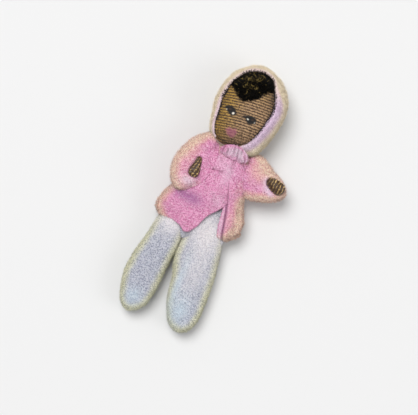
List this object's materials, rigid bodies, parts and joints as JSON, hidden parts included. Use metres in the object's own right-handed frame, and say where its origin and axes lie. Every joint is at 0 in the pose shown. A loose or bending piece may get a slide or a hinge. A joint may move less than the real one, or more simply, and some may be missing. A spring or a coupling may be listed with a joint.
{
  "type": "bendy doll",
  "caption": "Small soft doll with a wire skeleton: hooded plush coat with sleeves, plush trousers, jersey face, lying on its flat back.",
  "frame": {"origin": "point on the flat of the coat's back, in the middle of the chest", "axes": "+Y to the head, +Z to the front of the doll, +X to its left hand"},
  "size_m": [0.042, 0.0999, 0.0212],
  "materials": {
    "pink_plush": "short cut pile, fuzzy",
    "cream_plush": "short cut pile, fuzzy",
    "white_plush": "short cut pile, fuzzy",
    "brown_jersey": "fine ribbed knit, matte",
    "brown_thread": "wound thread, slight sheen",
    "black_thread": "sewing thread, matte",
    "black_mohair": "curly fibre, soft sheen",
    "wadding": "loose cotton, matte",
    "steel_wire": "annealed wire"
  },
  "bodies": {
    "torso": {"jacket_back": "pink_plush", "jacket_front_right": "pink_plush", "jacket_front_left": "pink_plush", "collar_gather": "pink_plush", "torso_padding": "wadding", "neck_padding": "wadding", "neck_thread": "black_thread", "seat_cover": "white_plush", "seat_padding": "wadding", "waist_thread": "brown_thread", "spine_wire": "steel_wire", "shoulder_wire": "steel_wire", "hip_wire": "steel_wire"},
    "neck_eye": {"neck_knot": "steel_wire"},
    "neck_post": {"neck_wire": "steel_wire"},
    "head": {"hood": "cream_plush", "face": "brown_jersey", "face_stitching": "black_thread", "head_padding": "wadding", "hair": "black_mohair"},
    "shoulder_eye_left": {"shoulder_knot_left": "steel_wire"},
    "arm_left": {"sleeve_left": "pink_plush", "arm_padding_left": "wadding", "arm_wire_left": "steel_wire"},
    "hand_left": {"hand_left": "brown_thread", "hand_wire_left": "steel_wire"},
    "shoulder_eye_right": {"shoulder_knot_right": "steel_wire"},
    "arm_right": {"sleeve_right": "pink_plush", "arm_padding_right": "wadding", "arm_wire_right": "steel_wire"},
    "hand_right": {"hand_right": "brown_thread", "hand_wire_right": "steel_wire"},
    "hip_eye_left": {"hip_knot_left": "steel_wire"},
    "thigh_left": {"thigh_cover_left": "white_plush", "thigh_padding_left": "wadding", "thigh_wire_left": "steel_wire"},
    "shank_left": {"shank_cover_left": "white_plush", "shank_padding_left": "wadding", "shank_wire_left": "steel_wire"},
    "hip_eye_right": {"hip_knot_right": "steel_wire"},
    "thigh_right": {"thigh_cover_right": "white_plush", "thigh_padding_right": "wadding", "thigh_wire_right": "steel_wire"},
    "shank_right": {"shank_cover_right": "white_plush", "shank_padding_right": "wadding", "shank_wire_right": "steel_wire"}
  },
  "joints": [
    {"name": "neck_tilt", "type": "hinge", "parent": "torso", "child": "neck_eye", "pos_m": [0.0003, 0.0145, 0.0085], "axis": [0, 0, 1], "range_deg": [-9, 9]},
    {"name": "neck_nod", "type": "hinge", "parent": "neck_eye", "child": "neck_post", "pos_m": [0.0003, 0.0145, 0.0085], "axis": [1, 0, 0], "range_deg": [-13, 13]},
    {"name": "neck_turn", "type": "hinge", "parent": "neck_post", "child": "head", "pos_m": [0.0003, 0.0145, 0.0085], "axis": [0, 1, 0], "range_deg": [-36, 36]},
    {"name": "shoulder_raise_left", "type": "hinge", "parent": "torso", "child": "shoulder_eye_left", "pos_m": [0.0092, 0.0084, 0.0085], "axis": [0, 0, 1], "range_deg": [-15, 12]},
    {"name": "shoulder_swing_left", "type": "hinge", "parent": "shoulder_eye_left", "child": "arm_left", "pos_m": [0.0092, 0.0084, 0.0085], "axis": [-0.108, -0.9942, 0], "range_deg": [-15, 40]},
    {"name": "wrist_lift_left", "type": "hinge", "parent": "arm_left", "child": "hand_left", "pos_m": [0.01659, 0.00981, 0.0126], "axis": [-0.2554, -0.9668, 0], "range_deg": [0, 45]},
    {"name": "shoulder_raise_right", "type": "hinge", "parent": "torso", "child": "shoulder_eye_right", "pos_m": [-0.0092, 0.0099, 0.0105], "axis": [0, 0, -1], "range_deg": [0, 60]},
    {"name": "shoulder_swing_right", "type": "hinge", "parent": "shoulder_eye_right", "child": "arm_right", "pos_m": [-0.0092, 0.0099, 0.0105], "axis": [-0.9898, 0.1426, 0], "range_deg": [0, 50]},
    {"name": "wrist_lift_right", "type": "hinge", "parent": "arm_right", "child": "hand_right", "pos_m": [-0.00864, 0.00744, 0.01487], "axis": [-0.9999, -0.0044, 0.0154], "range_deg": [0, 45]},
    {"name": "hip_spread_left", "type": "hinge", "parent": "torso", "child": "hip_eye_left", "pos_m": [0.0051, -0.0215, 0.0053], "axis": [0, 0, 1], "range_deg": [0, 25]},
    {"name": "hip_swing_left", "type": "hinge", "parent": "hip_eye_left", "child": "thigh_left", "pos_m": [0.0051, -0.0215, 0.0053], "axis": [-0.9942, -0.108, 0], "range_deg": [-20, 45]},
    {"name": "knee_bend_left", "type": "hinge", "parent": "thigh_left", "child": "shank_left", "pos_m": [0.00677, -0.03691, 0.0053], "axis": [0.9942, 0.108, 0], "range_deg": [-10, 75]},
    {"name": "hip_spread_right", "type": "hinge", "parent": "torso", "child": "hip_eye_right", "pos_m": [-0.0092, -0.0215, 0.0053], "axis": [0, 0, -1], "range_deg": [0, 25]},
    {"name": "hip_swing_right", "type": "hinge", "parent": "hip_eye_right", "child": "thigh_right", "pos_m": [-0.0092, -0.0215, 0.0053], "axis": [-0.9991, 0.0419, 0], "range_deg": [-20, 45]},
    {"name": "knee_bend_right", "type": "hinge", "parent": "thigh_right", "child": "shank_right", "pos_m": [-0.00985, -0.03699, 0.0053], "axis": [0.9991, -0.0419, 0], "range_deg": [-10, 75]}
  ]
}
